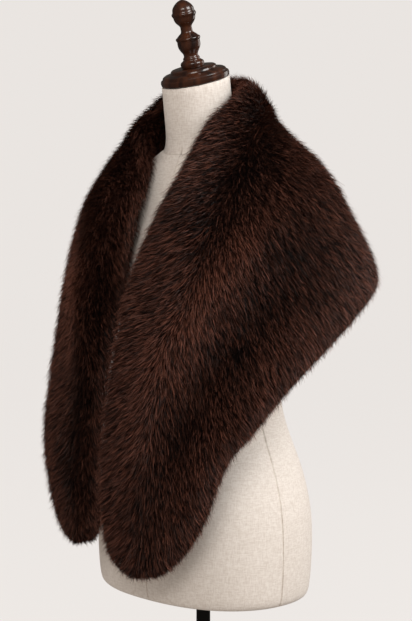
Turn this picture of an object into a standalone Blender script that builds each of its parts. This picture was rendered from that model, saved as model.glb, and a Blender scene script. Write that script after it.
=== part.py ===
"""Long-pile fur collar wrap resting on a limbless linen dress form, on a short pole and a round base.

Metres, +Z up. The origin is the centre of the base's underside. The form's front faces -Y and the
wearer's left is +X. Azimuths are measured round the form from its centre back, through the
wearer's left side to its centre front at 180 degrees. Heights in the tables are above the form's
bottom edge.
"""

import math

import bmesh
import bpy
import numpy as np
from mathutils import Vector
from mathutils.bvhtree import BVHTree

# Stand
FORM_BOTTOM = 0.320
PLATE_SIDES = 40
SOCKET_FLOOR = 0.008
POLE_RADIUS = 0.0102
POLE_CLEARANCE = 0.0003
BORE_DEPTH = 0.070
GAP = 0.0003
MERGE_DISTANCE = 1e-6
SHARP_ANGLE = math.radians(40)

# Form
FORM_SIDES = 44
FORM_POWER = 2.3
NECK_SIDES = 36
NECK_POWER = 2.0
TURNED_SIDES = 30
CAP_TILT = math.radians(15.3)
FINIAL_LEAN = math.radians(-1.3)
FINIAL_LIFT = 0.0007
NECK_TOP = (0.0, -0.015, 0.737)

# Fur wrap
PILE_THICKNESS = 0.034
EDGE_ROUND = 0.026
INWARD_TRIES = 60
BODY_CLEARANCE = 0.0009
FRONT_POWER = 2.0
BACK_POWER = 2.4
SHOULDER_STATION = 3.4
STATION_GAP = 0.010
MIDDLE_WIDTH = 0.33
COLLAR_SHARE = 0.27
COLLAR_STEPS = 6
BODY_STEPS = 11
BACK_ROWS = 20
FRONT_ROWS = 36
RULER_MARKS = 41
FOLD_MARKS = 40
FOLD_END = 0.02
FOLD_FULLNESS = 0.6

# Torso rings: height, centre y, half-width, front depth, back depth, forward tilt in degrees
TORSO_RINGS = (
    (0.000, 0.000, 0.157, 0.112, 0.111, 0),
    (0.004, 0.000, 0.165, 0.119, 0.118, 0),
    (0.013, 0.000, 0.170, 0.123, 0.122, 0),
    (0.068, 0.000, 0.173, 0.126, 0.126, 0),
    (0.113, 0.000, 0.172, 0.124, 0.126, 0),
    (0.143, 0.000, 0.168, 0.121, 0.122, 0),
    (0.173, 0.000, 0.161, 0.116, 0.116, 0),
    (0.197, 0.000, 0.153, 0.110, 0.110, 0),
    (0.226, 0.000, 0.141, 0.102, 0.100, 0),
    (0.264, 0.000, 0.126, 0.093, 0.090, 0),
    (0.322, 0.000, 0.118, 0.089, 0.084, 0),
    (0.380, 0.000, 0.126, 0.098, 0.090, 0),
    (0.430, 0.000, 0.139, 0.112, 0.101, 0),
    (0.475, 0.000, 0.148, 0.120, 0.110, 0),
    (0.520, 0.000, 0.151, 0.111, 0.112, 0),
    (0.558, 0.000, 0.153, 0.094, 0.106, 0),
    (0.584, 0.000, 0.148, 0.082, 0.097, 0),
    (0.601, 0.000, 0.135, 0.074, 0.087, 3),
    (0.615, 0.000, 0.115, 0.068, 0.077, 6),
    (0.627, -0.001, 0.093, 0.062, 0.068, 9),
    (0.637, -0.001, 0.074, 0.058, 0.061, 12),
    (0.646, -0.002, 0.060, 0.055, 0.056, 14),
)

# Neck rings, same columns
NECK_RINGS = (
    (0.646, -0.002, 0.0585, 0.0535, 0.0545, 14),
    (0.652, -0.003, 0.0545, 0.0515, 0.0520, 14),
    (0.664, -0.004, 0.0510, 0.0495, 0.0500, 14),
    (0.690, -0.009, 0.0490, 0.0485, 0.0485, 15),
    (0.737, -0.015, 0.0485, 0.0485, 0.0485, 15.3),
)

# Middle of the fur wall, ring by ring: height, centre y, half-width, front depth, back depth
WRAP_RINGS = (
    (0.030, -0.031, 0.236, 0.134, 0.150),
    (0.130, -0.030, 0.245, 0.140, 0.155),
    (0.215, -0.025, 0.252, 0.147, 0.160),
    (0.300, -0.007, 0.247, 0.159, 0.168),
    (0.371, 0.012, 0.245, 0.170, 0.170),
    (0.434, 0.026, 0.241, 0.175, 0.160),
    (0.484, 0.030, 0.231, 0.171, 0.141),
    (0.531, 0.026, 0.214, 0.157, 0.117),
    (0.563, 0.022, 0.198, 0.145, 0.107),
    (0.609, 0.016, 0.170, 0.107, 0.095),
    (0.635, 0.011, 0.138, 0.091, 0.088),
    (0.664, 0.005, 0.104, 0.082, 0.083),
    (0.700, -0.003, 0.080, 0.072, 0.074),
    (0.740, -0.011, 0.066, 0.060, 0.058),
    (0.765, -0.013, 0.062, 0.057, 0.055),
)

# The wrap from its centre back to the left end: station, azimuth and height of the neck edge,
# azimuth and height of the hem edge
BACK_STATIONS = (
    (0, 0, 0.744, 0, 0.428),
    (1, 30, 0.742, 26, 0.432),
    (2, 58, 0.734, 48, 0.441),
    (3, 86, 0.722, 66, 0.442),
)
LEFT_STATIONS = (
    (4, 104, 0.708, 80, 0.422),
    (5, 122, 0.692, 90, 0.391),
    (6, 137, 0.669, 99, 0.355),
    (7, 150, 0.632, 106, 0.318),
    (8, 158, 0.596, 111, 0.285),
    (9, 166, 0.552, 115.5, 0.256),
    (10, 173, 0.507, 120, 0.230),
    (11, 177.6, 0.460, 122.5, 0.205),
    (12, 181.5, 0.400, 124.3, 0.182),
    (13, 184.8, 0.330, 125.7, 0.162),
    (14, 187.4, 0.265, 127.7, 0.142),
    (15, 189.5, 0.205, 130.5, 0.122),
    (16, 190.8, 0.155, 134, 0.102),
    (17, 190, 0.110, 139, 0.082),
    (18, 185, 0.077, 145.5, 0.065),
    (19, 174, 0.057, 153, 0.054),
    (20, 163, 0.051, 163, 0.051),
)
RIGHT_STATIONS = (
    (4, 106, 0.698, 80, 0.420),
    (5, 128, 0.680, 90, 0.388),
    (6, 150, 0.656, 98, 0.351),
    (7, 168, 0.620, 103, 0.313),
    (8, 177, 0.584, 106, 0.279),
    (9, 178.5, 0.545, 108, 0.251),
    (10, 177, 0.505, 110, 0.226),
    (11, 177, 0.462, 112, 0.203),
    (12, 175, 0.400, 113.5, 0.183),
    (13, 171.6, 0.335, 115, 0.165),
    (14, 169, 0.275, 117, 0.147),
    (15, 167, 0.222, 119, 0.130),
    (16, 166, 0.176, 122, 0.114),
    (17, 165, 0.136, 126, 0.099),
    (18, 161.5, 0.104, 131, 0.087),
    (19, 154, 0.085, 138, 0.079),
    (20, 146, 0.077, 146, 0.077),
)
LAST_STATION = 20

# Largest folds: station and share of the width where each starts and ends, half-breadth, rise
FOLDS = (
    (4.8, 0.47, 14.6, 0.40, 0.031, 0.0120),
    (4.6, 0.63, 13.8, 0.70, 0.030, -0.0120),
    (-7.2, 0.52, -13.6, 0.06, 0.027, 0.0090),
    (-8.4, 0.68, -15.6, 0.36, 0.030, -0.0090),
    (4.4, 0.24, -4.4, 0.24, 0.024, -0.0040),
    (0.9, 0.44, 1.9, 0.96, 0.034, 0.0050),
    (-1.1, 0.46, -1.7, 0.95, 0.032, -0.0050),
    (-3.0, 0.42, -4.4, 0.93, 0.034, 0.0050),
)

# Base plate and its socket, from the underside up: height, radius
BASE_PROFILE = (
    (0.000, 0.157), (0.003, 0.160), (0.011, 0.160), (0.016, 0.155),
    (0.018, 0.029), (0.022, 0.026), (0.037, 0.024), (0.040, 0.020),
)

# Turned profiles, from the axis at the bottom to the axis at the top: height, radius
CAP_PROFILE = (
    (0.0000, 0.0000), (0.0000, 0.0470), (0.0012, 0.0488), (0.0045, 0.0496), (0.0078, 0.0490),
    (0.0092, 0.0470), (0.0104, 0.0462), (0.0124, 0.0452), (0.0138, 0.0430), (0.0150, 0.0345),
    (0.0162, 0.0332), (0.0186, 0.0328), (0.0200, 0.0310), (0.0200, 0.0000),
)
FINIAL_PROFILE = (
    (0.0000, 0.0000), (0.0000, 0.0158), (0.0020, 0.0166), (0.0045, 0.0170), (0.0070, 0.0164),
    (0.0090, 0.0140), (0.0105, 0.0122), (0.0130, 0.0120), (0.0155, 0.0104), (0.0190, 0.0106),
    (0.0235, 0.0132), (0.0290, 0.0158), (0.0340, 0.0163), (0.0380, 0.0164), (0.0395, 0.0174),
    (0.0418, 0.0174), (0.0433, 0.0155), (0.0465, 0.0122), (0.0495, 0.0088), (0.0540, 0.0083),
    (0.0580, 0.0085), (0.0602, 0.0100), (0.0628, 0.0124), (0.0665, 0.0147), (0.0720, 0.0161),
    (0.0742, 0.0173), (0.0765, 0.0173), (0.0782, 0.0160), (0.0830, 0.0152), (0.0885, 0.0118),
    (0.0925, 0.0072), (0.0947, 0.0030), (0.0955, 0.0000),
)


def clear_scene():
    for old in list(bpy.data.objects):
        bpy.data.objects.remove(old, do_unlink=True)


def finish(name, colour, roughness, metallic=0.0):
    material = bpy.data.materials.new(name)
    material.use_nodes = True
    shader = material.node_tree.nodes["Principled BSDF"]
    shader.inputs["Base Color"].default_value = (*colour, 1.0)
    shader.inputs["Roughness"].default_value = roughness
    shader.inputs["Metallic"].default_value = metallic
    return material


def smooth_rows(table, keys):
    """The columns of a table after its first, read at the keys on smooth curves through its rows."""
    table = np.array(table, float)
    marks, values = table[:, 0], table[:, 1:]
    slopes = np.gradient(values, marks, axis=0)
    keys = np.atleast_1d(keys)
    below = np.clip(np.searchsorted(marks, keys, side="right") - 1, 0, len(marks) - 2)
    span = (marks[below + 1] - marks[below])[:, None]
    t = (keys - marks[below])[:, None] / span
    start = (1 + 2 * t) * (1 - t) ** 2
    end = t**2 * (3 - 2 * t)
    leave = t * (1 - t) ** 2 * span
    arrive = t**2 * (t - 1) * span
    return (
        start * values[below]
        + end * values[below + 1]
        + leave * slopes[below]
        + arrive * slopes[below + 1]
    )


def round_the_body(azimuth, centre_y, half_width, front, back, front_power, back_power):
    """Plan of one ring: a superellipse with its own depth and fullness in front and behind."""
    across, along = np.sin(azimuth), np.cos(azimuth)
    depth = np.where(along > 0, back, front)
    power = np.where(along > 0, back_power, front_power)
    reach = (np.abs(across / half_width) ** power + np.abs(along / depth) ** power) ** (-1 / power)
    return reach * across, centre_y + reach * along


def mesh_object(name, points, faces, material):
    """A closed solid from points and faces, with coincident points made one."""
    mesh = bpy.data.meshes.new(name)
    shape = bmesh.new()
    corners = [shape.verts.new(point) for point in points]
    for face in faces:
        shape.faces.new([corners[i] for i in face])
    bmesh.ops.remove_doubles(shape, verts=shape.verts, dist=MERGE_DISTANCE)
    bmesh.ops.recalc_face_normals(shape, faces=shape.faces)
    if shape.calc_volume(signed=True) < 0:
        bmesh.ops.reverse_faces(shape, faces=shape.faces)
    shape.to_mesh(mesh)
    shape.free()
    mesh.shade_smooth()
    mesh.set_sharp_from_angle(angle=SHARP_ANGLE)
    mesh.materials.append(material)
    solid = bpy.data.objects.new(name, mesh)
    bpy.context.collection.objects.link(solid)
    return solid


def loft_object(name, loops, material):
    """Closed loops of equal length joined in turn, with a face over the first and the last."""
    count = len(loops[0])
    points = [tuple(point) for loop in loops for point in loop]
    faces = [tuple(range(count))[::-1]]
    for row in range(len(loops) - 1):
        low, high = row * count, (row + 1) * count
        for i in range(count):
            j = (i + 1) % count
            faces.append((low + i, low + j, high + j, high + i))
    top = (len(loops) - 1) * count
    faces.append(tuple(range(top, top + count)))
    return mesh_object(name, points, faces, material)


def tilted_ring(row, sides, power, lift=0.0):
    """One ring of the form, leaning forward with the neck, in its real place."""
    height, centre_y, half_width, front, back, tilt = row
    azimuth = np.linspace(0, 2 * math.pi, sides, endpoint=False)
    x, y = round_the_body(azimuth, centre_y, half_width, front, back, power, power)
    z = FORM_BOTTOM + height + lift + (y - centre_y) * math.tan(math.radians(tilt))
    return np.column_stack((x, y, z))


def level_circle(radius, height, sides):
    azimuth = np.linspace(0, 2 * math.pi, sides, endpoint=False)
    return np.column_stack((radius * np.sin(azimuth), radius * np.cos(azimuth), np.full(sides, height)))


def dress_form(linen):
    """Torso with a blind bore for the pole, and the neck a seam's gap above it."""
    bore = POLE_RADIUS + POLE_CLEARANCE
    loops = [
        level_circle(bore, FORM_BOTTOM + BORE_DEPTH, FORM_SIDES),
        level_circle(bore, FORM_BOTTOM, FORM_SIDES),
    ]
    loops += [tilted_ring(row, FORM_SIDES, FORM_POWER) for row in TORSO_RINGS]
    torso = loft_object("torso", loops, linen)
    neck_loops = [tilted_ring(row, NECK_SIDES, NECK_POWER, GAP) for row in NECK_RINGS[:-1]]
    neck_loops.append(tilted_ring(NECK_RINGS[-1], NECK_SIDES, NECK_POWER))
    neck = loft_object("neck", neck_loops, linen)
    return torso, neck


def turned(name, profile, sides, material):
    """A lathe-turned solid on its own +Z axis."""
    loops = []
    for height, radius in profile[1:-1]:
        loops.append(level_circle(radius, height, sides))
    return loft_object(name, loops, material)


def neck_cap_and_finial(wood):
    """Both follow the slanted cut of the neck, so one empty carries them."""
    seat = bpy.data.objects.new("neck_axis", None)
    seat.location = (NECK_TOP[0], NECK_TOP[1], FORM_BOTTOM + NECK_TOP[2])
    seat.rotation_euler = (CAP_TILT, 0, 0)
    bpy.context.collection.objects.link(seat)
    cap = turned("neck_cap", CAP_PROFILE, TURNED_SIDES, wood)
    cap.parent = seat
    cap.location = (0, 0, GAP)
    finial = turned("finial", FINIAL_PROFILE, TURNED_SIDES, wood)
    finial.parent = seat
    finial.location = (0, 0, CAP_PROFILE[-1][0] + GAP + FINIAL_LIFT)
    finial.rotation_euler = (FINIAL_LEAN, 0, 0)


def stand(metal):
    """Round base with a raised socket, and the pole that runs from it into the form."""
    bore = POLE_RADIUS + POLE_CLEARANCE
    loops = [level_circle(radius, height, PLATE_SIDES) for height, radius in BASE_PROFILE]
    loops.append(level_circle(bore, BASE_PROFILE[-1][0], PLATE_SIDES))
    loops.append(level_circle(bore, SOCKET_FLOOR, PLATE_SIDES))
    loft_object("base_plate", loops, metal)
    pole_top = FORM_BOTTOM + BORE_DEPTH - GAP
    loft_object(
        "pole",
        [
            level_circle(POLE_RADIUS, SOCKET_FLOOR + GAP, TURNED_SIDES),
            level_circle(POLE_RADIUS, pole_top, TURNED_SIDES),
        ],
        metal,
    )


def station_table():
    """Both halves of the wrap in one table, the right half at negative stations and azimuths."""
    left = BACK_STATIONS + LEFT_STATIONS
    right = BACK_STATIONS[1:] + RIGHT_STATIONS
    mirrored = [(-s, -inner, inner_z, -outer, outer_z) for s, inner, inner_z, outer, outer_z in right]
    return tuple(mirrored[::-1]) + left


def fur_middle(stations, across):
    """Points in the middle of the fur wall, before its folds."""
    edges = smooth_rows(station_table(), stations)
    azimuth = np.radians(edges[:, 0] + (edges[:, 2] - edges[:, 0]) * across)
    height = edges[:, 1] + (edges[:, 3] - edges[:, 1]) * across
    centre_y, half_width, front, back = smooth_rows(WRAP_RINGS, height).T
    x, y = round_the_body(azimuth, centre_y, half_width, front, back, FRONT_POWER, BACK_POWER)
    return np.column_stack((x, y, FORM_BOTTOM + height)), azimuth, height


def outward(azimuth, height):
    """Unit normals of the fur's middle surface, from small steps round it and up it."""

    def place(turn, lift):
        centre_y, half_width, front, back = smooth_rows(WRAP_RINGS, height + lift).T
        x, y = round_the_body(
            azimuth + turn, centre_y, half_width, front, back, FRONT_POWER, BACK_POWER
        )
        return np.column_stack((x, y, height + lift))

    step = 1e-3
    round_it = place(step, 0) - place(-step, 0)
    up_it = place(0, step) - place(0, -step)
    normal = np.cross(up_it, round_it)
    return normal / np.linalg.norm(normal, axis=1)[:, None]


def fold_rise(points):
    """How far the folds lift or sink the fur at the points."""
    rise = np.zeros(len(points))
    for start, start_share, end, end_share, breadth, height in FOLDS:
        run = np.linspace(0, 1, FOLD_MARKS)
        line, _, _ = fur_middle(start + (end - start) * run, start_share + (end_share - start_share) * run)
        apart = np.linalg.norm(points[:, None, :] - line[None, :, :], axis=2)
        nearest = apart.argmin(axis=1)
        fade = np.sin(math.pi * np.clip(run[nearest], FOLD_END, 1 - FOLD_END)) ** FOLD_FULLNESS
        rise += height * fade * np.exp(-((apart.min(axis=1) / breadth) ** 2))
    return rise


def spread(steps, first, last, free_first, free_last):
    """Shares across the width, closer together towards an edge that is free and rounds over."""
    t = np.linspace(0, 1, steps + 1)
    if free_first and free_last:
        t = (1 - np.cos(math.pi * t)) / 2
    elif free_first:
        t = 1 - np.cos(math.pi / 2 * t)
    elif free_last:
        t = np.sin(math.pi / 2 * t)
    return first + (last - first) * t


def nearness(solids):
    """One search tree over all the solids, which stand where their meshes say."""
    points, faces = [], []
    for solid in solids:
        first = len(points)
        points += [vertex.co[:] for vertex in solid.data.vertices]
        faces += [[first + i for i in polygon.vertices] for polygon in solid.data.polygons]
    return BVHTree.FromPolygons(points, faces)


def inner_point(body, middle, inward):
    """The end of the inward half of the wall, or the deepest point on the way there clear of the form."""
    for share in np.linspace(1, 0, INWARD_TRIES):
        point = Vector(middle + inward * share)
        surface, normal, _, _ = body.find_nearest(point)
        if (point - surface).dot(normal) >= BODY_CLEARANCE:
            return point
    raise ValueError("the middle of the fur lies in the form")


def fur_piece(name, stations, shares, body, fur):
    """One cut piece: an outer and an inner skin that meet in a round edge where the edge is free."""
    count = len(shares)
    outer, inner = [], []
    for station in stations:
        middle, azimuth, height = fur_middle(np.full(count, station), shares)
        ruler = fur_middle(np.full(RULER_MARKS, station), np.linspace(0, 1, RULER_MARKS))[0]
        width = np.linalg.norm(np.diff(ruler, axis=0), axis=1).sum()
        from_edge = np.minimum(shares, 1 - shares) * width
        rounding = np.sqrt(1 - (1 - np.clip(from_edge / EDGE_ROUND, 0, 1)) ** 2)
        normal = outward(azimuth, height)
        middle = middle + normal * (fold_rise(middle) * rounding)[:, None]
        half = normal * (rounding * PILE_THICKNESS / 2)[:, None]
        outer.append(middle + half)
        inner.append([inner_point(body, *pair) for pair in zip(middle, -half)])
    points, faces = [], []
    for row in range(len(stations)):
        points += [tuple(point) for point in outer[row]]
        points += [tuple(point) for point in inner[row]][::-1]
    ring = 2 * count
    for row in range(len(stations) - 1):
        low, high = row * ring, (row + 1) * ring
        for i in range(ring - 1):
            faces += [(low + i, low + i + 1, high + i + 1), (low + i, high + i + 1, high + i)]
        # The wall where the loop closes turns its diagonal, to match the wall of the piece beside it.
        faces += [(low, high, high + ring - 1), (low, high + ring - 1, low + ring - 1)]
    for row in (0, len(stations) - 1):
        for i in range(count - 1):
            skin, under = row * ring + i, row * ring + ring - 1 - i
            faces += [(skin, skin + 1, under), (skin + 1, under - 1, under)]
    return mesh_object(name, points, faces, fur)


def fur_wrap(body, fur):
    """Collar and back between the shoulder seams, and a front from each seam to its round end."""
    seam = SHOULDER_STATION
    share_gap = GAP / MIDDLE_WIDTH / 2
    collar_shares = spread(COLLAR_STEPS, 0, COLLAR_SHARE - share_gap, True, False)
    back_shares = spread(BODY_STEPS, COLLAR_SHARE + share_gap, 1, False, True)
    front_shares = np.concatenate((collar_shares[:-1], [COLLAR_SHARE], back_shares[1:]))
    back_stations = np.linspace(-seam, seam, BACK_ROWS)
    front_stations = np.linspace(seam + STATION_GAP, LAST_STATION, FRONT_ROWS)
    fur_piece("collar", back_stations, collar_shares, body, fur)
    fur_piece("back", back_stations, back_shares, body, fur)
    fur_piece("front_left", front_stations, front_shares, body, fur)
    fur_piece("front_right", -front_stations[::-1], front_shares, body, fur)


def main():
    clear_scene()
    fur = finish("brown fur", (0.030, 0.014, 0.010), 0.85)
    linen = finish("natural linen", (0.72, 0.64, 0.54), 0.9)
    wood = finish("dark turned wood", (0.075, 0.030, 0.016), 0.3)
    metal = finish("black painted steel", (0.012, 0.012, 0.013), 0.4, 0.6)
    form = dress_form(linen)
    neck_cap_and_finial(wood)
    stand(metal)
    fur_wrap(nearness(form), fur)


main()
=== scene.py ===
# Long-haired fur collar wrap on a limbless linen dress form with a turned cap and finial.
# Metres, +Z up. The form's front faces -Y and its own left is +X.

import math

import bmesh
import bpy
import numpy as np
from mathutils import Matrix, Vector
from mathutils.bvhtree import BVHTree
from mathutils.kdtree import KDTree


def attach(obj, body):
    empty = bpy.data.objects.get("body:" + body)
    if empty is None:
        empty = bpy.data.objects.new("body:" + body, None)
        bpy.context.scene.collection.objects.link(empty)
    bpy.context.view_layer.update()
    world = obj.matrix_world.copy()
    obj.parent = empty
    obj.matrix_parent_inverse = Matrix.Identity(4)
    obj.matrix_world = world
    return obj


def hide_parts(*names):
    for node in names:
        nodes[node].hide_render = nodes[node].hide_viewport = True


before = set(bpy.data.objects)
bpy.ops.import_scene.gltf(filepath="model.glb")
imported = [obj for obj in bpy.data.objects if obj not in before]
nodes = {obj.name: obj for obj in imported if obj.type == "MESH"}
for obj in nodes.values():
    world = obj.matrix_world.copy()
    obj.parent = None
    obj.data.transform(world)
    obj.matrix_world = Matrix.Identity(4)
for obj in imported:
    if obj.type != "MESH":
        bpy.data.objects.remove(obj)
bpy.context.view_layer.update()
dice = np.random.default_rng(11)
mergeDistance = 0.00002    # points nearer than this are one
hairMap = "OFBake"         # the hair's UV map: across it runs a hair's own tone, and up it the hair
print("frame loaded:", len(nodes), "solids")


class Value:
    # one shader socket, so that shader maths can be written as Python
    def __init__(self, finish, socket):
        self.finish = finish
        self.socket = socket

    def maths(self, operation, first, second):
        return self.finish.node("Math", {"operation": operation}, {0: first, 1: second})

    def __add__(self, other):
        return self.maths("ADD", self, other)

    def __radd__(self, other):
        return self.maths("ADD", other, self)

    def __mul__(self, other):
        return self.maths("MULTIPLY", self, other)

    def __rmul__(self, other):
        return self.maths("MULTIPLY", other, self)

    def __pow__(self, other):
        return self.maths("POWER", self, other)

    def __rpow__(self, other):
        return self.maths("POWER", other, self)


class Finish:
    # one material: what is the same all over goes on the shader's own sockets
    def __init__(self, name, **constants):
        self.material = bpy.data.materials.new(name)
        self.material.use_nodes = True
        self.tree = self.material.node_tree
        self.shader = self.tree.nodes["Principled BSDF"]
        for key, value in constants.items():
            self.shader.inputs[key].default_value = value

    def feed(self, socket, value):
        if isinstance(value, Value):
            self.tree.links.new(value.socket, socket)
        else:
            socket.default_value = value

    def node(self, kind, settings=None, sockets=None, output=0):
        made = self.tree.nodes.new("ShaderNode" + kind)
        for key, value in (settings or {}).items():
            if key == "stops":
                ramp = made.color_ramp.elements
                while len(ramp) < len(value):
                    ramp.new(0.5)
                for element, (place, colour) in zip(ramp, value):
                    element.position = place
                    element.color = (*colour, 1.0)
            else:
                setattr(made, key, value)
        for key, value in (sockets or {}).items():
            self.feed(made.inputs[key], value)
        return Value(self, made.outputs[output])

    def mix(self, share, first, second):
        sockets = {0: share, 6: first, 7: second}  # 6 and 7 are the node's two colours
        return self.node("Mix", {"data_type": "RGBA"}, sockets, output=2)

    def surface(self, name, value):
        self.feed(self.shader.inputs[name], value)

    def place(self):
        return self.node("TexCoord", output=3)  # the object's own coordinates, in metres

    def noise(self, vector, scale, detail):
        return self.node("TexNoise", None, {"Vector": vector, "Scale": scale, "Detail": detail})

    def stretched(self, vector, scale):
        return self.node("Mapping", None, {"Vector": vector, "Scale": scale})

    def split(self, vector, axis):
        return self.node("SeparateXYZ", None, {0: vector}, output=axis)

    def bumped(self, height, strength, distance):
        sockets = {"Height": height, "Strength": strength, "Distance": distance}
        self.surface("Normal", self.node("Bump", None, sockets))


def opaque(colour):
    return (*colour, 1.0)


def onlyThis(piece):
    bpy.ops.object.select_all(action="DESELECT")
    piece.select_set(True)
    bpy.context.view_layer.objects.active = piece


def editing(piece):
    onlyThis(piece)
    bpy.ops.object.mode_set(mode="EDIT")
    bpy.ops.mesh.select_all(action="SELECT")


def objectMode():
    bpy.ops.object.mode_set(mode="OBJECT")


def applied(piece, kind, **settings):
    onlyThis(piece)
    modifier = piece.modifiers.new(kind.lower(), kind)
    for key, value in settings.items():
        setattr(modifier, key, value)
    bpy.ops.object.modifier_apply(modifier=modifier.name)


def finished(piece, name, finish, replaced=()):
    piece.name = name
    piece.data.name = name
    piece.data.materials.clear()
    piece.data.materials.append(finish.material)
    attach(piece, "root")
    if replaced:
        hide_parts(*replaced)
    return piece


cameraSettings = {
    "azimuth": 45.0,
    "elevation": 5.3,
    "distance": 2.4,
    "lens": 96.0,
    "aimHeight": 0.728,
    "aimRight": 0.004,
    "sensor": 36.0,
}
# the picture's right, the way to the viewer along the floor, and up
viewTurn = math.radians(cameraSettings["azimuth"])
across = Vector((math.cos(viewTurn), math.sin(viewTurn), 0))
toward = Vector((across.y, -across.x, 0))
upward = Vector((0, 0, 1))


def addCamera():
    aim = across * cameraSettings["aimRight"] + upward * cameraSettings["aimHeight"]
    lift = math.radians(cameraSettings["elevation"])
    away = toward * math.cos(lift) + upward * math.sin(lift)
    bpy.ops.object.camera_add(location=aim + away * cameraSettings["distance"])
    camera = bpy.context.object
    camera.rotation_euler = (-away).to_track_quat("-Z", "Y").to_euler()
    camera.data.sensor_fit = "VERTICAL"
    camera.data.sensor_width = cameraSettings["sensor"]
    camera.data.sensor_height = cameraSettings["sensor"]
    camera.data.lens = cameraSettings["lens"]
    bpy.context.scene.camera = camera


# each light: how far right, toward the viewer and up it stands, its two sizes, power and colour
lightSettings = {
    "aimHeight": 0.85,
    "keySoftbox": (1.86, 1.10, 2.47, 1.4, 1.5, 55.0, (1.0, 0.985, 0.97)),
    "frontSoftbox": (-0.3, 2.6, 2.4, 1.4, 1.0, 29.0, (1.0, 0.95, 0.90)),
    "rimSoftbox": (1.9, -1.5, 1.6, 1.0, 1.8, 10.0, (1.0, 0.95, 0.90)),
    "ambient": (1.0, 0.89, 0.80),
    "ambientStrength": 0.48,
    "ambientGloss": 0.07,
}


def addLights():
    aim = upward * lightSettings["aimHeight"]
    for name in ("keySoftbox", "frontSoftbox", "rimSoftbox"):
        right, near, high, wide, tall, power, colour = lightSettings[name]
        spot = across * right + toward * near + upward * high
        bpy.ops.object.light_add(type="AREA", location=spot)
        lamp = bpy.context.object
        lamp.name = name
        lamp.rotation_euler = (aim - spot).to_track_quat("-Z", "Y").to_euler()
        lamp.data.shape = "RECTANGLE"
        lamp.data.size = wide
        lamp.data.size_y = tall
        lamp.data.energy = power
        lamp.data.color = colour
    world = bpy.data.worlds.new("studioAir")
    world.use_nodes = True
    bpy.context.scene.world = world
    bpy.context.scene.view_settings.view_transform = "Standard"
    tree = world.node_tree
    sky = tree.nodes["Background"]
    sky.inputs["Color"].default_value = opaque(lightSettings["ambient"])
    rays = tree.nodes.new("ShaderNodeLightPath")
    strength = tree.nodes.new("ShaderNodeMapRange")  # the room is dim in reflections, as a dark studio is
    strength.inputs["To Min"].default_value = lightSettings["ambientStrength"]
    strength.inputs["To Max"].default_value = lightSettings["ambientGloss"]
    tree.links.new(rays.outputs["Is Glossy Ray"], strength.inputs["Value"])
    tree.links.new(strength.outputs["Result"], sky.inputs["Strength"])


stageSettings = {
    "flatRadius": 6.0,
    "sweep": 3.0,
    "sweepSteps": 10,
    "wallHeight": 4.0,
    "sides": 96,
    "roughness": 0.9,
    "colour": (0.08, 0.078, 0.076),
    "glow": (1.0, 0.958, 0.926),
    "glowStrength": 0.775,
}


def addStage():
    # a round floor that sweeps up into a wall
    flat, sweep, steps = (stageSettings[key] for key in ("flatRadius", "sweep", "sweepSteps"))
    turns = [math.pi / 2 * step / steps for step in range(1, steps + 1)]
    rings = [(flat + sweep * math.sin(turn), sweep * (1 - math.cos(turn))) for turn in turns]
    rings.append((rings[-1][0], rings[-1][1] + stageSettings["wallHeight"]))
    bpy.ops.object.select_all(action="DESELECT")
    bpy.ops.mesh.primitive_circle_add(vertices=stageSettings["sides"], radius=flat, fill_type="NGON")
    floor = bpy.context.object
    editing(floor)
    bpy.ops.mesh.select_mode(type="EDGE")
    radius, height = flat, 0.0
    for nextRadius, nextHeight in rings:
        bpy.ops.mesh.extrude_edges_move(TRANSFORM_OT_translate={"value": (0, 0, nextHeight - height)})
        share = nextRadius / radius
        bpy.ops.transform.resize(value=(share, share, 1), center_override=(0, 0, 0))
        radius, height = nextRadius, nextHeight
    bpy.ops.mesh.select_all(action="SELECT")
    bpy.ops.mesh.normals_make_consistent(inside=True)
    objectMode()
    onlyThis(floor)
    bpy.ops.object.shade_smooth()
    floor.name = "studioSweep"
    paper = Finish("studioPaper", Roughness=stageSettings["roughness"])
    paper.surface("Base Color", opaque(stageSettings["colour"]))
    paper.surface("Emission Color", opaque(stageSettings["glow"]))
    paper.surface("Emission Strength", stageSettings["glowStrength"])
    floor.data.materials.append(paper.material)
    floor.visible_diffuse = False
    floor.visible_glossy = False


addCamera()
addLights()
addStage()
print("camera, lights and stage ready")


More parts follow.
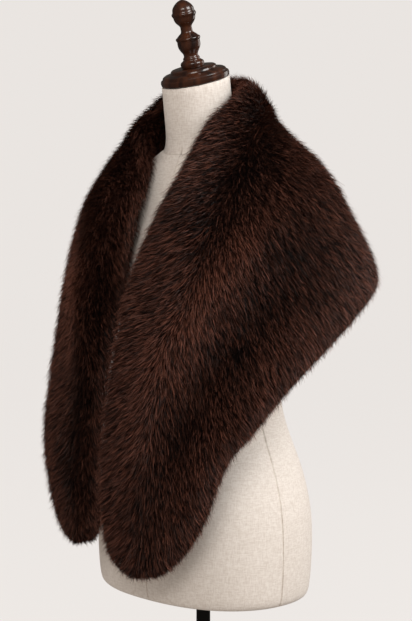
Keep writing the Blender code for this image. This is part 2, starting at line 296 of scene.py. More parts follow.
furSettings = {
    # the skin lies under the tips of the hair by a depth, or by a share of the fur's thickness if less
    "skinDepth": 0.0105,
    "skinShare": 0.30,
    "skinPasses": 4,          # how often the depth is evened out over the skin
    "leastDepth": 0.001,
    # faces of two pieces this near each other meet at a seam, if their normals' product is this or less
    "seamReach": 0.0013,
    "seamFacing": -0.5,
    # rays that measure the fur's thickness start inside it, and those to the form outside it
    "inwardStart": 0.0005,
    "outwardStart": 0.0002,
    "outwardReach": 0.25,     # past this the form is out of reach
    # how many hairs there are, and where they are fewer
    "hairsPerArea": 660000,   # to the square metre of the open outer side
    "hairsPerPiece": 99000,
    "insideDensity": 0.26,
    "collarInsideDensity": 0.75,
    "collarHeight": 0.93,
    "edgeDensity": 0.8,       # beside an edge, where the skin is this thin
    "edgeDepth": 0.0085,
    "hiddenGap": 0.0025,      # no hair grows where the form is this near
    # each hair, with its angles in degrees
    "length": 0.021,
    "lengthSpread": (0.62, 1.06),
    "shortest": 0.004,
    "width": 0.00060,
    "widthSpread": (0.75, 1.25),
    "roll": 60.0,
    "rootShare": 0.45,        # how much of a hair is its steeper lower part
    "rootLift": 46.0,
    "rootLiftSpread": (0.8, 1.2),
    "tipLift": 18.0,
    "tipLiftSpread": (0.4, 1.9),
    "overTheTop": -0.0004,    # tips reach this far past the solid, give or take the spread
    "overSpread": 0.0020,
    "edgeOver": 0.0006,       # and at least this far where they cross a rounded edge
    "stray": 5.0,
    # how far apart locks lie, how far they turn in degrees and how much their tone changes
    "locks": ((0.055, 6.0, 0.05), (0.013, 4.0, 0.05), (0.0026, 6.0, 0.26)),
    "lockTonePitch": 0.8,     # the pitch of their tone beside the pitch of their turn
    "baseTone": 0.30,
    "toneSpread": 0.32,
    "toneRange": (0.02, 0.98),
    "underRise": 0.8,         # how near its own tip's colour the longest underhair comes
    "underRisePower": 1.5,
    "mapStrip": 0.004,        # half the width of a hair's place in its UV map, its foot and its height
    "mapFoot": 0.02,
    "mapHeight": 0.96,
    # the longer, lighter hairs on top, some of which stand clear of the rest
    "guardShare": 0.34,
    "guardLength": 1.2,
    "guardWidth": 1.1,
    "guardOver": 0.0012,
    "guardTone": 0.20,
    "spikeShare": 0.20,
    "spikeLength": 1.25,
    "spikeWidth": 1.15,
    "spikeOver": 0.0055,
    "spikeLift": 1.55,
    "spikeTone": 0.14,
    # hair stands up along the parting, and there its tone is darkened as painted shade
    "partingLift": 0.9,
    "partingReach": 0.030,
    "partingShade": 0.14,
    "partingFrom": 0.800,     # it fades below this height plus this rise, to this share
    "partingRise": 0.080,
    "partingLow": 0.15,
}

# where the hair parts, from the centre back over each shoulder and down each front
partingBack = ((0.000, 0.095, 1.015), (0.070, 0.075, 1.015), (0.110, 0.015, 1.000))
partingLeft = ((0.130, -0.035, 0.970), (0.135, -0.085, 0.915), (0.130, -0.125, 0.835),
               (0.115, -0.145, 0.760), (0.085, -0.165, 0.675), (0.070, -0.180, 0.575),
               (0.055, -0.185, 0.480), (0.045, -0.180, 0.375))
partingRight = ((-0.135, -0.040, 0.960), (-0.130, -0.100, 0.900), (-0.120, -0.130, 0.825),
                (-0.110, -0.150, 0.755), (-0.095, -0.165, 0.675), (-0.100, -0.175, 0.575),
                (-0.095, -0.175, 0.495), (-0.090, -0.175, 0.400))
napSettings = {
    "samples": 70,
    "linePasses": 8,          # how often the parting, the skin's normal there and its run are evened out
    "normalPasses": 12,
    "headingPasses": 6,
    "fadeLength": 0.16,       # from the centre back, over this length, the hair turns to run forward
    "backFade": 0.035,        # at the centre back the parting works as if this much further off
    "soften": 0.02,           # keeps the lie of the hair steady close to the parting
    "hemTurn": 1.2,           # how fast the hair's run changes from the neck side to the hem side
    "sideways": 1.0,
    "alongNeckSide": 0.9,
    "alongHemSide": 0.3,
    "gravity": 0.8,
}

# painted light and shade along the folds: hair is made lighter where a fold's ridge catches the light and
# darker where its valley lies in shade: start, end, half-breadth, change of tone
paintedFoldShading = (
    ((0.175, -0.105, 0.835), (0.125, -0.155, 0.735), 0.022, 0.22),
    ((0.125, -0.155, 0.735), (0.090, -0.175, 0.685), 0.026, 0.25),
    ((0.090, -0.175, 0.685), (0.055, -0.190, 0.555), 0.026, 0.17),
    ((0.120, -0.145, 0.785), (0.155, -0.135, 0.770), 0.018, 0.12),
    ((0.200, -0.015, 0.905), (0.210, -0.055, 0.825), 0.038, -0.13),
    ((0.210, -0.055, 0.825), (0.175, -0.115, 0.700), 0.034, -0.20),
    ((0.205, -0.080, 0.750), (0.230, -0.055, 0.765), 0.024, -0.18),
    ((0.175, -0.115, 0.700), (0.115, -0.160, 0.585), 0.030, -0.21),
    ((0.115, -0.160, 0.585), (0.075, -0.178, 0.500), 0.030, -0.12),
    ((0.240, 0.000, 0.860), (0.240, -0.015, 0.790), 0.042, -0.16),
    ((0.165, -0.030, 0.940), (0.120, -0.090, 0.915), 0.030, -0.12),
    ((0.085, -0.125, 0.890), (0.125, -0.120, 0.860), 0.028, -0.18),
    ((-0.155, -0.110, 0.840), (-0.125, -0.145, 0.760), 0.030, 0.36),
    ((-0.125, -0.145, 0.760), (-0.115, -0.155, 0.690), 0.026, 0.30),
    ((-0.040, -0.160, 0.785), (-0.030, -0.175, 0.690), 0.026, -0.26),
    ((-0.070, -0.170, 0.640), (-0.090, -0.172, 0.500), 0.034, -0.30),
    ((-0.080, -0.070, 0.985), (-0.075, -0.080, 0.960), 0.025, -0.15),
    ((0.000, 0.060, 1.055), (0.065, 0.030, 1.055), 0.028, 0.36),
    ((0.045, 0.150, 0.930), (0.095, 0.175, 0.790), 0.024, 0.10),
    ((-0.040, 0.150, 0.930), (-0.075, 0.178, 0.790), 0.022, -0.10),
)


rippleSettings = {
    "waves": 14,
    "pitchSpread": (0.6, 1.5),
    "most": 1.5,              # their sum, over the root of their number, is cut off at this
}


def unit(vectors):
    return vectors / np.maximum(np.linalg.norm(vectors, axis=-1, keepdims=True), 1e-9)


def ripple(points, wavelength):
    # smooth noise from -1 to 1 out of a few waves in random directions
    waves, most = rippleSettings["waves"], rippleSettings["most"]
    total = np.zeros(len(points))
    for _ in range(waves):
        heading = unit(dice.normal(size=3)) * (2 * math.pi / wavelength)
        heading = heading * dice.uniform(*rippleSettings["pitchSpread"])
        total += np.sin(points @ heading + dice.uniform(0, 2 * math.pi))
    return np.clip(total / math.sqrt(waves), -most, most) / most


def solidArrays(name):
    # a solid's points and triangles, with coincident points made one
    shape = bmesh.new()
    shape.from_mesh(nodes[name].data)
    bmesh.ops.remove_doubles(shape, verts=shape.verts, dist=mergeDistance)
    shape.verts.index_update()
    points = np.array([corner.co[:] for corner in shape.verts])
    faces = np.array([[corner.index for corner in face.verts] for face in shape.faces])
    shape.free()
    return points, faces


def crossOf(points, faces):
    # each face's normal, twice its area long
    first, second, third = (points[faces[:, i]] for i in range(3))
    return np.cross(second - first, third - first)


def treeOf(points, faces):
    return BVHTree.FromPolygons(points.tolist(), faces.tolist())


def softened(values, times):
    # a run of vectors smoothed along its length, with its ends kept
    values = values.copy()
    for _ in range(times):
        values[1:-1] = (values[:-2] + 2 * values[1:-1] + values[2:]) / 4
    return values


def partingLine(side, outerSkin):
    # points along the parting on the outer skin, the way it runs, the skin's normal and the length so far
    front = partingLeft if side > 0 else partingRight
    keys = np.array([(x * side, y, z) for x, y, z in partingBack] + list(front))
    run = np.concatenate(([0], np.cumsum(np.linalg.norm(np.diff(keys, axis=0), axis=1))))
    marks = np.linspace(0, run[-1], napSettings["samples"])
    line = np.column_stack([np.interp(marks, run, keys[:, i]) for i in range(3)])
    found = [outerSkin.find_nearest(Vector(spot)) for spot in line]
    line = softened(np.array([place for place, _, _, _ in found]), napSettings["linePasses"])
    normals = np.array([normal for _, normal, _, _ in found])
    normals = unit(softened(normals, napSettings["normalPasses"]))
    heading = unit(softened(np.gradient(line, axis=0), napSettings["headingPasses"]))
    return line, heading, normals, marks


def napAt(points, normals, sides, outerSkin):
    # the way the hair lies: away from the parting, then along it and down
    flow = np.zeros_like(points)
    distance = np.zeros(len(points))
    for side in (1, -1):
        line, heading, outward, marks = partingLine(side, outerSkin)
        hemward = unit(np.cross(outward, heading)) * side
        chosen = np.flatnonzero(sides == side)
        apart = np.linalg.norm(points[chosen, None, :] - line[None, :, :], axis=2)
        nearest = apart.argmin(axis=1)
        away = points[chosen] - line[nearest]
        away -= normals[chosen] * (away * normals[chosen]).sum(axis=1)[:, None]
        reach = apart.min(axis=1)[:, None] + napSettings["soften"]
        hemSide = (away * hemward[nearest]).sum(axis=1)[:, None] / reach
        hemShare = np.clip(0.5 + napSettings["hemTurn"] * hemSide, 0, 1)
        fade = np.clip(marks[nearest] / napSettings["fadeLength"], 0, 1)[:, None]
        distance[chosen] = apart.min(axis=1) + napSettings["backFade"] * (1 - fade[:, 0])
        neckRun, hemRun = napSettings["alongNeckSide"], napSettings["alongHemSide"]
        along = neckRun + hemShare * (hemRun - neckRun)
        flow[chosen] = (away / reach * napSettings["sideways"]
                        + heading[nearest] * fade * along
                        - np.array(upward) * napSettings["gravity"] * hemShare)
    return unit(flow), distance


def seamWalls(names, solids):
    # for each piece in turn, which of its faces lie against another piece at a seam
    trees = {name: treeOf(*solids[name]) for name in names}
    reach, facing = furSettings["seamReach"], furSettings["seamFacing"]
    walls = []
    for name in names:
        points, faces = solids[name]
        centres = points[faces].mean(axis=1)
        normals = unit(crossOf(points, faces))
        for centre, normal in zip(centres, normals):
            met = False
            for other in names:
                if other == name:
                    continue
                _, otherNormal, index, _ = trees[other].find_nearest(Vector(centre), reach)
                if index is not None and otherNormal.dot(Vector(normal)) < facing:
                    met = True
            walls.append(met)
    return np.array(walls)


def joinedPieces(names, solids):
    # the pieces' points and faces in one list, with each face's piece and each point's side of the form
    points, faces, owner, sides = [], [], [], []
    first = 0
    for number, name in enumerate(names):
        own, triangles = solids[name]
        points.append(own)
        faces.append(triangles + first)
        owner.append(np.full(len(triangles), number))
        if name == "front_left":
            sides.append(np.ones(len(own)))
        elif name == "front_right":
            sides.append(-np.ones(len(own)))
        else:
            sides.append(np.where(own[:, 0] >= 0, 1, -1))
        first += len(own)
    return (np.concatenate(arrays) for arrays in (points, faces, owner, sides))


def twinsOf(points):
    # the first point of each group that a seam brings together
    near = KDTree(len(points))
    for index, point in enumerate(points):
        near.insert(point, index)
    near.balance()
    reach = furSettings["seamReach"]
    return np.array([min(found[1] for found in near.find_range(point, reach)) for point in points])


def formSurface():
    torsoPoints, torsoFaces = solidArrays("torso")
    neckPoints, neckFaces = solidArrays("neck")
    return treeOf(np.concatenate((torsoPoints, neckPoints)),
                  np.concatenate((torsoFaces, neckFaces + len(torsoPoints))))


def evenedOut(values, faces, twin):
    # values at the points, drawn towards their neighbours' a few times
    ends = np.concatenate((faces[:, [0, 1]], faces[:, [1, 2]], faces[:, [2, 0]]))
    ends = np.concatenate((twin[ends], twin[ends][:, ::-1]))
    for _ in range(furSettings["skinPasses"]):
        total, count = np.zeros(len(values)), np.zeros(len(values))
        np.add.at(total, ends[:, 0], values[twin][ends[:, 1]])
        np.add.at(count, ends[:, 0], 1)
        values = ((values + total / np.maximum(count, 1)) / 2)[twin]
    return values


def gatherFur(names):
    # the fur pieces welded into one skin, with what the hair needs at every point of it
    solids = {name: solidArrays(name) for name in names}
    walls = seamWalls(names, solids)
    points, faces, owner, sides = joinedPieces(names, solids)
    twin = twinsOf(points)
    free = faces[~walls]
    cross = crossOf(points, free)
    normals = np.zeros_like(points)
    for corner in range(3):
        np.add.at(normals, twin[free[:, corner]], cross)
    normals = unit(normals[twin])
    skin = treeOf(points, free)
    form = formSurface()
    depth, gap = np.zeros(len(points)), np.zeros(len(points))
    for index, (point, normal) in enumerate(zip(points, normals)):
        point, normal = Vector(point), Vector(normal)
        _, _, _, thickness = skin.ray_cast(point - normal * furSettings["inwardStart"], -normal)
        depth[index] = min(furSettings["skinDepth"], furSettings["skinShare"] * (thickness or 1))
        start = point + normal * furSettings["outwardStart"]
        _, _, _, room = form.ray_cast(start, normal, furSettings["outwardReach"])
        gap[index] = 1.0 if room is None else room  # 1 where the form is out of reach
    depth = evenedOut(depth, free, twin)
    outerSkin = treeOf(points, free[(gap[free] >= 1).all(axis=1)])
    flow, distance = napAt(points, normals, sides, outerSkin)
    return {
        "points": points, "normals": normals, "faces": faces, "owner": owner, "walls": walls,
        "roots": points - normals * depth[:, None], "gap": gap, "solids": solids,
        "flow": flow, "distance": distance[:, None], "skin": skin, "depth": depth,
    }


def turned(vectors, axes, angles):
    # each vector turned round its axis, both perpendicular or nearly so
    cosine, sine = np.cos(angles)[:, None], np.sin(angles)[:, None]
    along = (vectors * axes).sum(axis=1, keepdims=True)
    return vectors * cosine + np.cross(axes, vectors) * sine + axes * along * (1 - cosine)


def scatteredRoots(fur, faces, density, count):
    # evenly scattered hairs: surface, root, normal, lie of the hair and distance from the parting
    area = np.linalg.norm(crossOf(fur["points"], faces), axis=1)
    total = np.cumsum(area * density)
    chosen = np.searchsorted(total, (np.arange(count) + dice.random(count)) / count * total[-1])
    chosen = np.minimum(chosen, len(faces) - 1)
    first, second = dice.random(count), dice.random(count)
    folded = first + second > 1
    first[folded], second[folded] = 1 - first[folded], 1 - second[folded]
    shares = np.column_stack((1 - first - second, first, second))[:, :, None]

    def read(values):
        return (values[faces[chosen]] * shares).sum(axis=1)

    places = (read(fur["points"]), read(fur["roots"]), unit(read(fur["normals"])), unit(read(fur["flow"])))
    return (*places, read(fur["distance"])[:, 0])


def lyingBy(flow, normal, lift):
    # a unit direction along the flow that leaves the skin at the lift, or steeper where the flow does
    outward = (flow * normal).sum(axis=1, keepdims=True)
    level = flow - normal * outward
    lift = np.radians(lift)[:, None]
    return unit(level * np.cos(lift) + normal * np.maximum(outward, np.sin(lift)))


# painted light and shade: each hair's tone raised or lowered near the listed fold lines
def paintedFoldTone(points):
    change = np.zeros(len(points))
    for start, end, breadth, tone in paintedFoldShading:
        start, along = np.array(start), np.array(end) - np.array(start)
        share = np.clip((points - start) @ along / (along @ along), 0, 1)
        apart = np.linalg.norm(points - start - share[:, None] * along, axis=1)
        change += tone * np.exp(-(apart / breadth) ** 2)
    return change


def hairTones(roots, distance, guard, spike):
    # each hair's tone and its turn off the nap, with how strongly the parting lifts it
    height = (roots[:, 2] - furSettings["partingFrom"]) / furSettings["partingRise"]
    parting = np.exp(-(distance / furSettings["partingReach"]) ** 2)
    parting = parting * np.clip(height, furSettings["partingLow"], 1)
    # along the parting the tone is lowered as painted shade
    tone = furSettings["baseTone"] + furSettings["guardTone"] * guard - furSettings["partingShade"] * parting
    # the fold lines add painted light and shade to the tone
    tone += furSettings["spikeTone"] * spike + paintedFoldTone(roots)
    turn = np.zeros(len(roots))
    for wavelength, degrees, change in furSettings["locks"]:
        turn += ripple(roots, wavelength) * math.radians(degrees)
        tone += ripple(roots, wavelength * furSettings["lockTonePitch"]) * change
    turn += dice.normal(size=len(roots)) * math.radians(furSettings["stray"])
    return tone, turn, parting


def bentBack(fur, ends, over):
    # a tip past a rounded edge bends back over it
    for index, tip in enumerate(ends):
        place, facing, _, _ = fur["skin"].find_nearest(tip)
        facing = np.array(facing)
        extra = (tip - np.array(place)).dot(facing) - furSettings["edgeOver"] - max(over[index], 0)
        if extra > 0:
            ends[index] -= facing * extra


def hairCorners(fur, faces, density, count):
    # four corners of each hair, root, two sides of its bend and tip, with its tone and its height
    surface, roots, normal, flow, distance = scatteredRoots(fur, faces, density, count)
    guard = dice.random(count) < furSettings["guardShare"]
    spike = guard & (dice.random(count) < furSettings["spikeShare"] / furSettings["guardShare"])
    tone, turn, parting = hairTones(roots, distance, guard, spike)
    flow = turned(flow, normal, turn)
    low, high = furSettings["lengthSpread"]
    long = low + (high - low) * np.sqrt(dice.random(count))
    length = furSettings["length"] * long * np.where(guard, furSettings["guardLength"], 1.0)
    length *= np.where(spike, furSettings["spikeLength"], 1.0)
    stand = (1 + furSettings["partingLift"] * parting) * np.where(spike, furSettings["spikeLift"], 1)
    rootSpread = dice.uniform(*furSettings["rootLiftSpread"], count)
    lower = lyingBy(flow, normal, furSettings["rootLift"] * stand * rootSpread)
    tipSpread = dice.uniform(*furSettings["tipLiftSpread"], count)
    upper = lyingBy(flow, normal, furSettings["tipLift"] * stand * tipSpread)
    rootShare = furSettings["rootShare"]
    climb = ((lower * rootShare + upper * (1 - rootShare)) * normal).sum(axis=1)
    depth = np.maximum(((surface - roots) * normal).sum(axis=1), furSettings["leastDepth"])
    over = furSettings["overTheTop"] + furSettings["overSpread"] * dice.normal(size=count)
    over += furSettings["guardOver"] * guard + furSettings["spikeOver"] * dice.random(count) * spike
    length = np.minimum(length, np.maximum(depth + over, furSettings["shortest"]) / climb)
    middle = roots + lower * (length * rootShare)[:, None]
    ends = middle + upper * (length * (1 - rootShare))[:, None]
    bentBack(fur, ends, over)
    sideways = unit(np.cross(lower, normal))
    upright = np.cross(sideways, lower)
    roll = np.radians(dice.uniform(-furSettings["roll"], furSettings["roll"], count))[:, None]
    half = furSettings["width"] / 2 * dice.uniform(*furSettings["widthSpread"], count)
    half = half * np.where(guard, furSettings["guardWidth"], 1.0)
    half = half * np.where(spike, furSettings["spikeWidth"], 1.0)
    half = (sideways * np.cos(roll) + upright * np.sin(roll)) * half[:, None]
    spread = furSettings["toneSpread"]
    tone = np.clip(tone + dice.uniform(-spread, spread, count), *furSettings["toneRange"])
    rise = np.where(guard, 1.0, furSettings["underRise"] * (long / high) ** furSettings["underRisePower"])
    return np.stack((roots, middle + half, ends, middle - half), axis=1), tone, rise


def growHair(name, fur, faces, density, count, finish):
    # one joined mesh of hairs, each two triangles, with its tone and rise in its UV map
    corners, tone, rise = hairCorners(fur, faces, density, count)
    strip, foot, height = (furSettings[key] for key in ("mapStrip", "mapFoot", "mapHeight"))
    tones = np.column_stack((tone, tone + strip, tone, tone - strip))
    rises = np.column_stack((0 * rise, 0.5 * rise, rise, 0.5 * rise)) * height + foot
    order = np.array([0, 1, 3, 3, 1, 2])  # the corners of its two triangles
    mesh = bpy.data.meshes.new(name)
    mesh.vertices.add(count * 4)
    mesh.vertices.foreach_set("co", corners.astype(np.float32).ravel())
    mesh.loops.add(count * 6)
    loops = np.arange(count)[:, None] * 4 + order[None, :]
    mesh.loops.foreach_set("vertex_index", loops.astype(np.int32).ravel())
    mesh.polygons.add(count * 2)
    starts = np.arange(count)[:, None] * 6 + np.array([0, 3])[None, :]
    mesh.polygons.foreach_set("loop_start", starts.astype(np.int32).ravel())
    mesh.update(calc_edges=True)
    layer = mesh.uv_layers.new(name=hairMap)
    coordinates = np.stack((tones[:, order], rises[:, order]), axis=2)
    layer.data.foreach_set("uv", coordinates.astype(np.float32).ravel())
    mesh.shade_smooth()
    piece = bpy.data.objects.new(name, mesh)
    bpy.context.scene.collection.objects.link(piece)
    return finished(piece, name, finish)


hairFinishSettings = {
    "roughness": 0.46,
    "specular": 0.20,
    # colour from the root to the tip; the light tip colour is partly the hair's own and partly painted
    # sheen and painted glow of light through the tips
    "stops": ((0.0, (0.0035, 0.0010, 0.0005)), (0.45, (0.0182, 0.0058, 0.0031)),
              (0.8, (0.0570, 0.0208, 0.0135)), (1.0, (0.1080, 0.0445, 0.0320))),
    # how light a hair is by its tone: least, power and gain
    "light": (0.1, 1.7, 4.1),
}


def hairFinish():
    # dark at the root, warmer and lighter at the tip, each hair with its own tone; the light tips are
    # partly painted sheen and painted glow of light through them
    finish = Finish("brownHair", **{
        "Roughness": hairFinishSettings["roughness"],
        "Specular IOR Level": hairFinishSettings["specular"],
    })
    own = finish.node("UVMap", {"uv_map": hairMap})
    tone, rise = finish.split(own, 0), finish.split(own, 1)
    along = finish.node("ValToRGB", {"stops": hairFinishSettings["stops"]}, {0: rise})
    least, power, gain = hairFinishSettings["light"]
    light = least + tone ** power * gain
    colour = finish.node("VectorMath", {"operation": "SCALE"}, {0: along, "Scale": light})
    finish.surface("Base Color", colour)
    return finish


peltFinishSettings = {
    "roughness": 0.95,
    "specular": 0.1,
    "patches": (45.0, 3.0),  # how many to the metre, and the detail in them
    "fuzz": (900.0, 2.0),
    "dark": (0.0035, 0.0013, 0.0009),
    "light": (0.010, 0.0042, 0.003),
    "bump": (0.6, 0.0008),   # strength and depth
}


def peltFinish():
    # the short dense underfur that shows between the long hairs
    finish = Finish("darkUnderfur", **{
        "Roughness": peltFinishSettings["roughness"],
        "Specular IOR Level": peltFinishSettings["specular"],
    })
    place = finish.place()
    patches = finish.noise(place, *peltFinishSettings["patches"])
    fuzz = finish.noise(place, *peltFinishSettings["fuzz"])
    dark, light = opaque(peltFinishSettings["dark"]), opaque(peltFinishSettings["light"])
    finish.surface("Base Color", finish.mix(patches, dark, light))
    finish.bumped(fuzz, *peltFinishSettings["bump"])
    return finish


def makePelt(name, fur, number, finish):
    # the skin of one cut piece, under its hair
    own, triangles = fur["solids"][name]
    first = 0
    for other in list(fur["solids"])[:number]:
        first += len(fur["solids"][other][0])
    mesh = bpy.data.meshes.new(name)
    mesh.from_pydata(fur["roots"][first:first + len(own)].tolist(), [], triangles.tolist())
    mesh.shade_smooth()
    piece = bpy.data.objects.new(name, mesh)
    bpy.context.scene.collection.objects.link(piece)
    return finished(piece, name + "Pelt", finish, [name])


def hairDensity(fur, faces):
    # how densely hair grows on each face, as a share: 1 on the open outer side, less inside
    gap = fur["gap"][faces].max(axis=1)
    height = fur["points"][faces][:, :, 2].mean(axis=1)
    inside = np.where(height > furSettings["collarHeight"],
                      furSettings["collarInsideDensity"], furSettings["insideDensity"])
    thin = fur["depth"][faces].min(axis=1) < furSettings["edgeDepth"]
    inside = np.where(thin, np.maximum(inside, furSettings["edgeDensity"]), inside)
    return np.where(gap >= 1.0, 1.0, np.where(gap < furSettings["hiddenGap"], 0.0, inside))


def makeFur():
    names = ["collar", "back", "front_left", "front_right"]
    fur = gatherFur(names)
    print("fur skin gathered:", len(fur["points"]), "points")
    hair, underfur = hairFinish(), peltFinish()
    for number, name in enumerate(names):
        faces = fur["faces"][(fur["owner"] == number) & ~fur["walls"]]
        density = hairDensity(fur, faces)
        area = np.linalg.norm(crossOf(fur["points"], faces), axis=1) / 2
        needed = int((area * density).sum() * furSettings["hairsPerArea"])
        batches = math.ceil(needed / furSettings["hairsPerPiece"])
        pelt = makePelt(name, fur, number, underfur)
        for batch in range(batches):
            coatName = f"{name}Hair{batch + 1}"
            growHair(coatName, fur, faces, density, needed // batches, hair)
        print(name, "hairs:", needed, "in", batches, "pieces")


makeFur()
print("fur ready")


linenSettings = {
    "roughness": 0.85,
    "sheen": (0.15, 0.5),    # weight and roughness
    "colour": (0.91, 0.865, 0.815),
    "thread": (0.56, 0.485, 0.42),
    "threadsRound": {"torso": 1300, "neck": 430},
    "threadPitch": 0.00072,
    "slubSize": 620.0,       # how many slubs to the metre across the thread
    "slubLength": 0.20,
    "slubDetail": 3.0,
    "slubRange": (0.78, 1.22),
    "clouds": (9.0, 2.0),    # how many to the metre, and the detail in them
    "slubShare": 0.44,       # how far slubs and clouds take the colour to the thread's
    "cloudShare": 0.16,
    "weaveHeight": 0.4,
    "bump": (0.3, 0.0003),
    # how far two triangles may bend and skew to become one face, and which edges stay sharp
    "quadAngles": (30.0, 60.0),
    "sharpAngle": 50.0,
    "crease": 0.85,
    "levels": 2,
    "smoothAngle": 40.0,
    # the seams: a strip sunk along its middle, by a point on each and the direction across it
    "seamWidth": 0.0036,
    "seamDepth": 0.0018,
    "torsoSeams": (((0.0, -0.013, 0.5), (0.0, 1.0, 0.0)), ((0.010, 0.0, 0.5), (1.0, 0.0, 0.0))),
}


def linenFinish(name):
    # a plain weave that runs round the form and up it, with uneven threads both ways
    weight, roughness = linenSettings["sheen"]
    finish = Finish("linen_" + name, **{
        "Roughness": linenSettings["roughness"],
        "Sheen Weight": weight,
        "Sheen Roughness": roughness,
    })
    place = finish.place()
    east, north, height = (finish.split(place, axis) for axis in range(3))
    around = finish.node("Math", {"operation": "ARCTAN2"}, {0: east, 1: north})
    warpTurn = around * linenSettings["threadsRound"][name]
    weftTurn = height * (2 * math.pi / linenSettings["threadPitch"])
    warp = finish.node("Math", {"operation": "SINE"}, {0: warpTurn})
    weft = finish.node("Math", {"operation": "SINE"}, {0: weftTurn})
    weave = warp * weft
    long, size, detail = (linenSettings[key] for key in ("slubLength", "slubSize", "slubDetail"))
    slubsRound = finish.noise(finish.stretched(place, (long, long, 1.0)), size, detail)
    slubsUp = finish.noise(finish.stretched(place, (1.0, 1.0, long)), size, detail)
    cloud = finish.noise(place, *linenSettings["clouds"])
    least, most = linenSettings["slubRange"]
    threads = finish.node("MapRange", None, {0: slubsRound + slubsUp, 1: least, 2: most})
    share = threads * linenSettings["slubShare"] + cloud * linenSettings["cloudShare"]
    colour = finish.mix(share, opaque(linenSettings["colour"]), opaque(linenSettings["thread"]))
    finish.surface("Base Color", colour)
    finish.bumped(weave * linenSettings["weaveHeight"] + threads, *linenSettings["bump"])
    return finish


def sewSeam(piece, place, direction):
    # a line cut round the piece, widened into a strip and sunk along its middle
    place, direction = Vector(place), Vector(direction)
    editing(piece)
    bpy.ops.mesh.select_mode(type="EDGE")
    bpy.ops.mesh.bisect(plane_co=place, plane_no=direction)
    bpy.ops.mesh.bevel(offset=linenSettings["seamWidth"] / 2, segments=2, affect="EDGES")
    bpy.ops.mesh.select_all(action="DESELECT")
    shape = bmesh.from_edit_mesh(piece.data)
    for edge in shape.edges:
        offsets = [abs((corner.co - place).dot(direction)) for corner in edge.verts]
        edge.select_set(max(offsets) < mergeDistance)
    bmesh.update_edit_mesh(piece.data)
    bpy.ops.transform.shrink_fatten(value=-linenSettings["seamDepth"])
    objectMode()


def formPiece(name, seams):
    # the form's own solid, merged, with quads again, one smooth subdivision and its seams
    flatness, squareness = (math.radians(angle) for angle in linenSettings["quadAngles"])
    piece = bpy.data.objects.new(name, nodes[name].data.copy())
    bpy.context.scene.collection.objects.link(piece)
    editing(piece)
    bpy.ops.mesh.remove_doubles(threshold=mergeDistance)
    bpy.ops.mesh.customdata_custom_splitnormals_clear()
    bpy.ops.mesh.tris_convert_to_quads(face_threshold=flatness, shape_threshold=squareness)
    bpy.ops.mesh.select_all(action="DESELECT")
    bpy.ops.mesh.select_mode(type="EDGE")
    bpy.ops.mesh.edges_select_sharp(sharpness=math.radians(linenSettings["sharpAngle"]))
    bpy.ops.transform.edge_crease(value=linenSettings["crease"])
    objectMode()
    applied(piece, "SUBSURF", levels=linenSettings["levels"], render_levels=linenSettings["levels"])
    for place, direction in seams:
        sewSeam(piece, place, direction)
    onlyThis(piece)
    bpy.ops.object.shade_smooth_by_angle(angle=math.radians(linenSettings["smoothAngle"]))
    return finished(piece, name + "Linen", linenFinish(name), [name])


formPiece("torso", linenSettings["torsoSeams"])
formPiece("neck", ())
print("form ready")


turningSettings = {
    "start": 0.002,          # the size of the plane that is merged into an outline's first point
    "mergeDistance": 0.00001,
    "smoothAngle": 38.0,
    "roundingParts": 3,
}
woodSettings = {
    "sides": 72,
    "neckTop": (0.0, -0.015, 1.057),
    "capTilt": 15.3,
    "finialTilt": 14.0,
    "capLift": 0.0003,
    "finialLift": 0.0210,
    # outlines from the axis at the bottom to the axis at the top: radius, height
    "cap": ((0.0, 0.0), (0.0470, 0.0), (0.0488, 0.0012), (0.0496, 0.0045), (0.0490, 0.0078),
            (0.0470, 0.0092), (0.0462, 0.0104), (0.0452, 0.0124), (0.0430, 0.0138), (0.0345, 0.0150),
            (0.0332, 0.0162), (0.0328, 0.0186), (0.0310, 0.0200), (0.0, 0.0200)),
    "finial": ((0.0, 0.0), (0.0158, 0.0), (0.0166, 0.0020), (0.0170, 0.0045), (0.0164, 0.0070),
               (0.0140, 0.0090), (0.0122, 0.0105), (0.0120, 0.0130), (0.0104, 0.0155), (0.0106, 0.0190),
               (0.0132, 0.0235), (0.0158, 0.0290), (0.0163, 0.0340), (0.0164, 0.0380), (0.0174, 0.0395),
               (0.0174, 0.0418), (0.0155, 0.0433), (0.0122, 0.0465), (0.0088, 0.0495), (0.0083, 0.0540),
               (0.0085, 0.0580), (0.0100, 0.0602), (0.0124, 0.0628), (0.0147, 0.0665), (0.0161, 0.0720),
               (0.0173, 0.0742), (0.0173, 0.0765), (0.0160, 0.0782), (0.0152, 0.0830), (0.0118, 0.0885),
               (0.0072, 0.0925), (0.0030, 0.0947), (0.0, 0.0955)),
}
standSettings = {
    "sides": 96,
    "pole": ((0.0, 0.0083), (0.0094, 0.0083), (0.0102, 0.0091), (0.0102, 0.3889), (0.0094, 0.3897),
             (0.0, 0.3897)),
    "base": ((0.0, 0.0), (0.1570, 0.0), (0.1592, 0.0008), (0.1600, 0.0030), (0.1600, 0.0110),
             (0.1594, 0.0136), (0.1576, 0.0154), (0.1550, 0.0160), (0.0290, 0.0180), (0.0268, 0.0192),
             (0.0260, 0.0220), (0.0240, 0.0370), (0.0230, 0.0390), (0.0205, 0.0400), (0.0105, 0.0400),
             (0.0105, 0.0080), (0.0, 0.0080)),
}


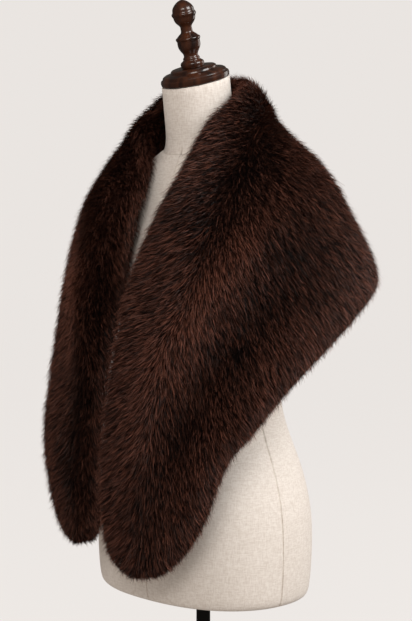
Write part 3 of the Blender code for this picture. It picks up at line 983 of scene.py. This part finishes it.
def spun(outline, sides):
    # a turned solid: the outline is drawn point by point and spun round the Z axis
    bpy.ops.object.select_all(action="DESELECT")
    bpy.ops.mesh.primitive_plane_add(size=turningSettings["start"], location=(0, 0, 0))
    piece = bpy.context.object
    editing(piece)
    bpy.ops.mesh.select_mode(type="VERT")
    bpy.ops.mesh.merge(type="CENTER")
    radius, height = outline[0]
    bpy.ops.transform.translate(value=(radius, 0, height))
    for nextRadius, nextHeight in outline[1:]:
        step = (nextRadius - radius, 0, nextHeight - height)
        bpy.ops.mesh.extrude_vertices_move(TRANSFORM_OT_translate={"value": step})
        radius, height = nextRadius, nextHeight
    bpy.ops.mesh.select_all(action="SELECT")
    bpy.ops.mesh.spin(steps=sides, angle=2 * math.pi, center=(0, 0, 0), axis=(0, 0, 1))
    bpy.ops.mesh.select_all(action="SELECT")
    bpy.ops.mesh.remove_doubles(threshold=turningSettings["mergeDistance"])
    bpy.ops.mesh.normals_make_consistent(inside=False)
    objectMode()
    onlyThis(piece)
    bpy.ops.object.shade_smooth_by_angle(angle=math.radians(turningSettings["smoothAngle"]))
    return piece


def rounded(outline):
    # a smooth curve through an outline's points
    points = np.array(outline)
    marks = np.concatenate(([0], np.cumsum(np.linalg.norm(np.diff(points, axis=0), axis=1))))
    slopes = np.gradient(points, marks, axis=0)
    parts = turningSettings["roundingParts"]
    drawn = []
    for i in range(len(points) - 1):
        span = marks[i + 1] - marks[i]
        for t in np.arange(parts) / parts:
            drawn.append((1 + 2 * t) * (1 - t) ** 2 * points[i] + t * (1 - t) ** 2 * span * slopes[i]
                         + t * t * (3 - 2 * t) * points[i + 1] + t * t * (t - 1) * span * slopes[i + 1])
    drawn.append(points[-1])
    return [(max(float(radius), 0.0), float(height)) for radius, height in drawn]


def onTheNeck(piece, lift, tilt):
    # seats a turned piece above the slanted neck, tilted, with its place in its mesh
    seat = Matrix.Translation(woodSettings["neckTop"])
    seat = seat @ Matrix.Rotation(math.radians(woodSettings["capTilt"]), 4, "X")
    seat = seat @ Matrix.Translation((0, 0, lift))
    piece.matrix_world = seat @ Matrix.Rotation(math.radians(tilt - woodSettings["capTilt"]), 4, "X")
    onlyThis(piece)
    bpy.ops.object.transform_apply(location=True, rotation=True, scale=True)


woodFinishSettings = {
    "coat": (0.9, 0.07),     # weight and roughness of the varnish
    "specular": 0.3,
    "grainStretch": 0.12,
    "grain": (420.0, 5.0),   # how many streaks to the metre, and the detail in them
    "figure": (75.0, 3.0),
    "figureRange": (0.35, 0.65),
    "dark": (0.013, 0.0036, 0.0018),
    "light": (0.085, 0.0245, 0.0085),
    "pore": (0.008, 0.0025, 0.0015),
    "poreShare": 0.6,
    "roughness": (0.30, 0.12),  # least, and how much the grain adds
    "bump": (0.05, 0.0002),
}


def woodFinish():
    coatWeight, coatRoughness = woodFinishSettings["coat"]
    finish = Finish("darkTurnedWood", **{
        "Coat Weight": coatWeight,
        "Coat Roughness": coatRoughness,
        "Specular IOR Level": woodFinishSettings["specular"],
    })
    grainPlace = finish.stretched(finish.place(), (1.0, 1.0, woodFinishSettings["grainStretch"]))
    grain = finish.noise(grainPlace, *woodFinishSettings["grain"])
    streaks = finish.noise(grainPlace, *woodFinishSettings["figure"])
    least, most = woodFinishSettings["figureRange"]
    figure = finish.node("MapRange", None, {0: streaks, 1: least, 2: most})
    dark, light, pore = (opaque(woodFinishSettings[key]) for key in ("dark", "light", "pore"))
    colour = finish.mix(figure, dark, light)
    colour = finish.mix(grain * woodFinishSettings["poreShare"], colour, pore)
    finish.surface("Base Color", colour)
    smoothest, added = woodFinishSettings["roughness"]
    finish.surface("Roughness", smoothest + grain * added)
    finish.bumped(figure, *woodFinishSettings["bump"])
    return finish


metalFinishSettings = {
    "metallic": 0.5,
    "mottle": (700.0, 2.0),
    "dark": (0.009, 0.009, 0.010),
    "light": (0.016, 0.015, 0.015),
    "roughness": (0.34, 0.14),  # least, and how much the mottle adds
    "bump": (0.08, 0.0002),
}


def metalFinish():
    finish = Finish("blackSteel", Metallic=metalFinishSettings["metallic"])
    mottle = finish.noise(finish.place(), *metalFinishSettings["mottle"])
    dark, light = opaque(metalFinishSettings["dark"]), opaque(metalFinishSettings["light"])
    finish.surface("Base Color", finish.mix(mottle, dark, light))
    smoothest, added = metalFinishSettings["roughness"]
    finish.surface("Roughness", smoothest + mottle * added)
    finish.bumped(mottle, *metalFinishSettings["bump"])
    return finish


def makeHardPieces():
    wood, metal = woodFinish(), metalFinish()
    cap = spun(woodSettings["cap"], woodSettings["sides"])
    onTheNeck(cap, woodSettings["capLift"], woodSettings["capTilt"])
    finished(cap, "turnedCap", wood, ["neck_cap"])
    finial = spun(rounded(woodSettings["finial"]), woodSettings["sides"])
    onTheNeck(finial, woodSettings["finialLift"], woodSettings["finialTilt"])
    finished(finial, "turnedFinial", wood, ["finial"])
    pole = spun(standSettings["pole"], standSettings["sides"] // 2)
    finished(pole, "steelPole", metal, ["pole"])
    base = spun(standSettings["base"], standSettings["sides"])
    finished(base, "steelBase", metal, ["base_plate"])


makeHardPieces()
print("cap, finial, pole and base ready")
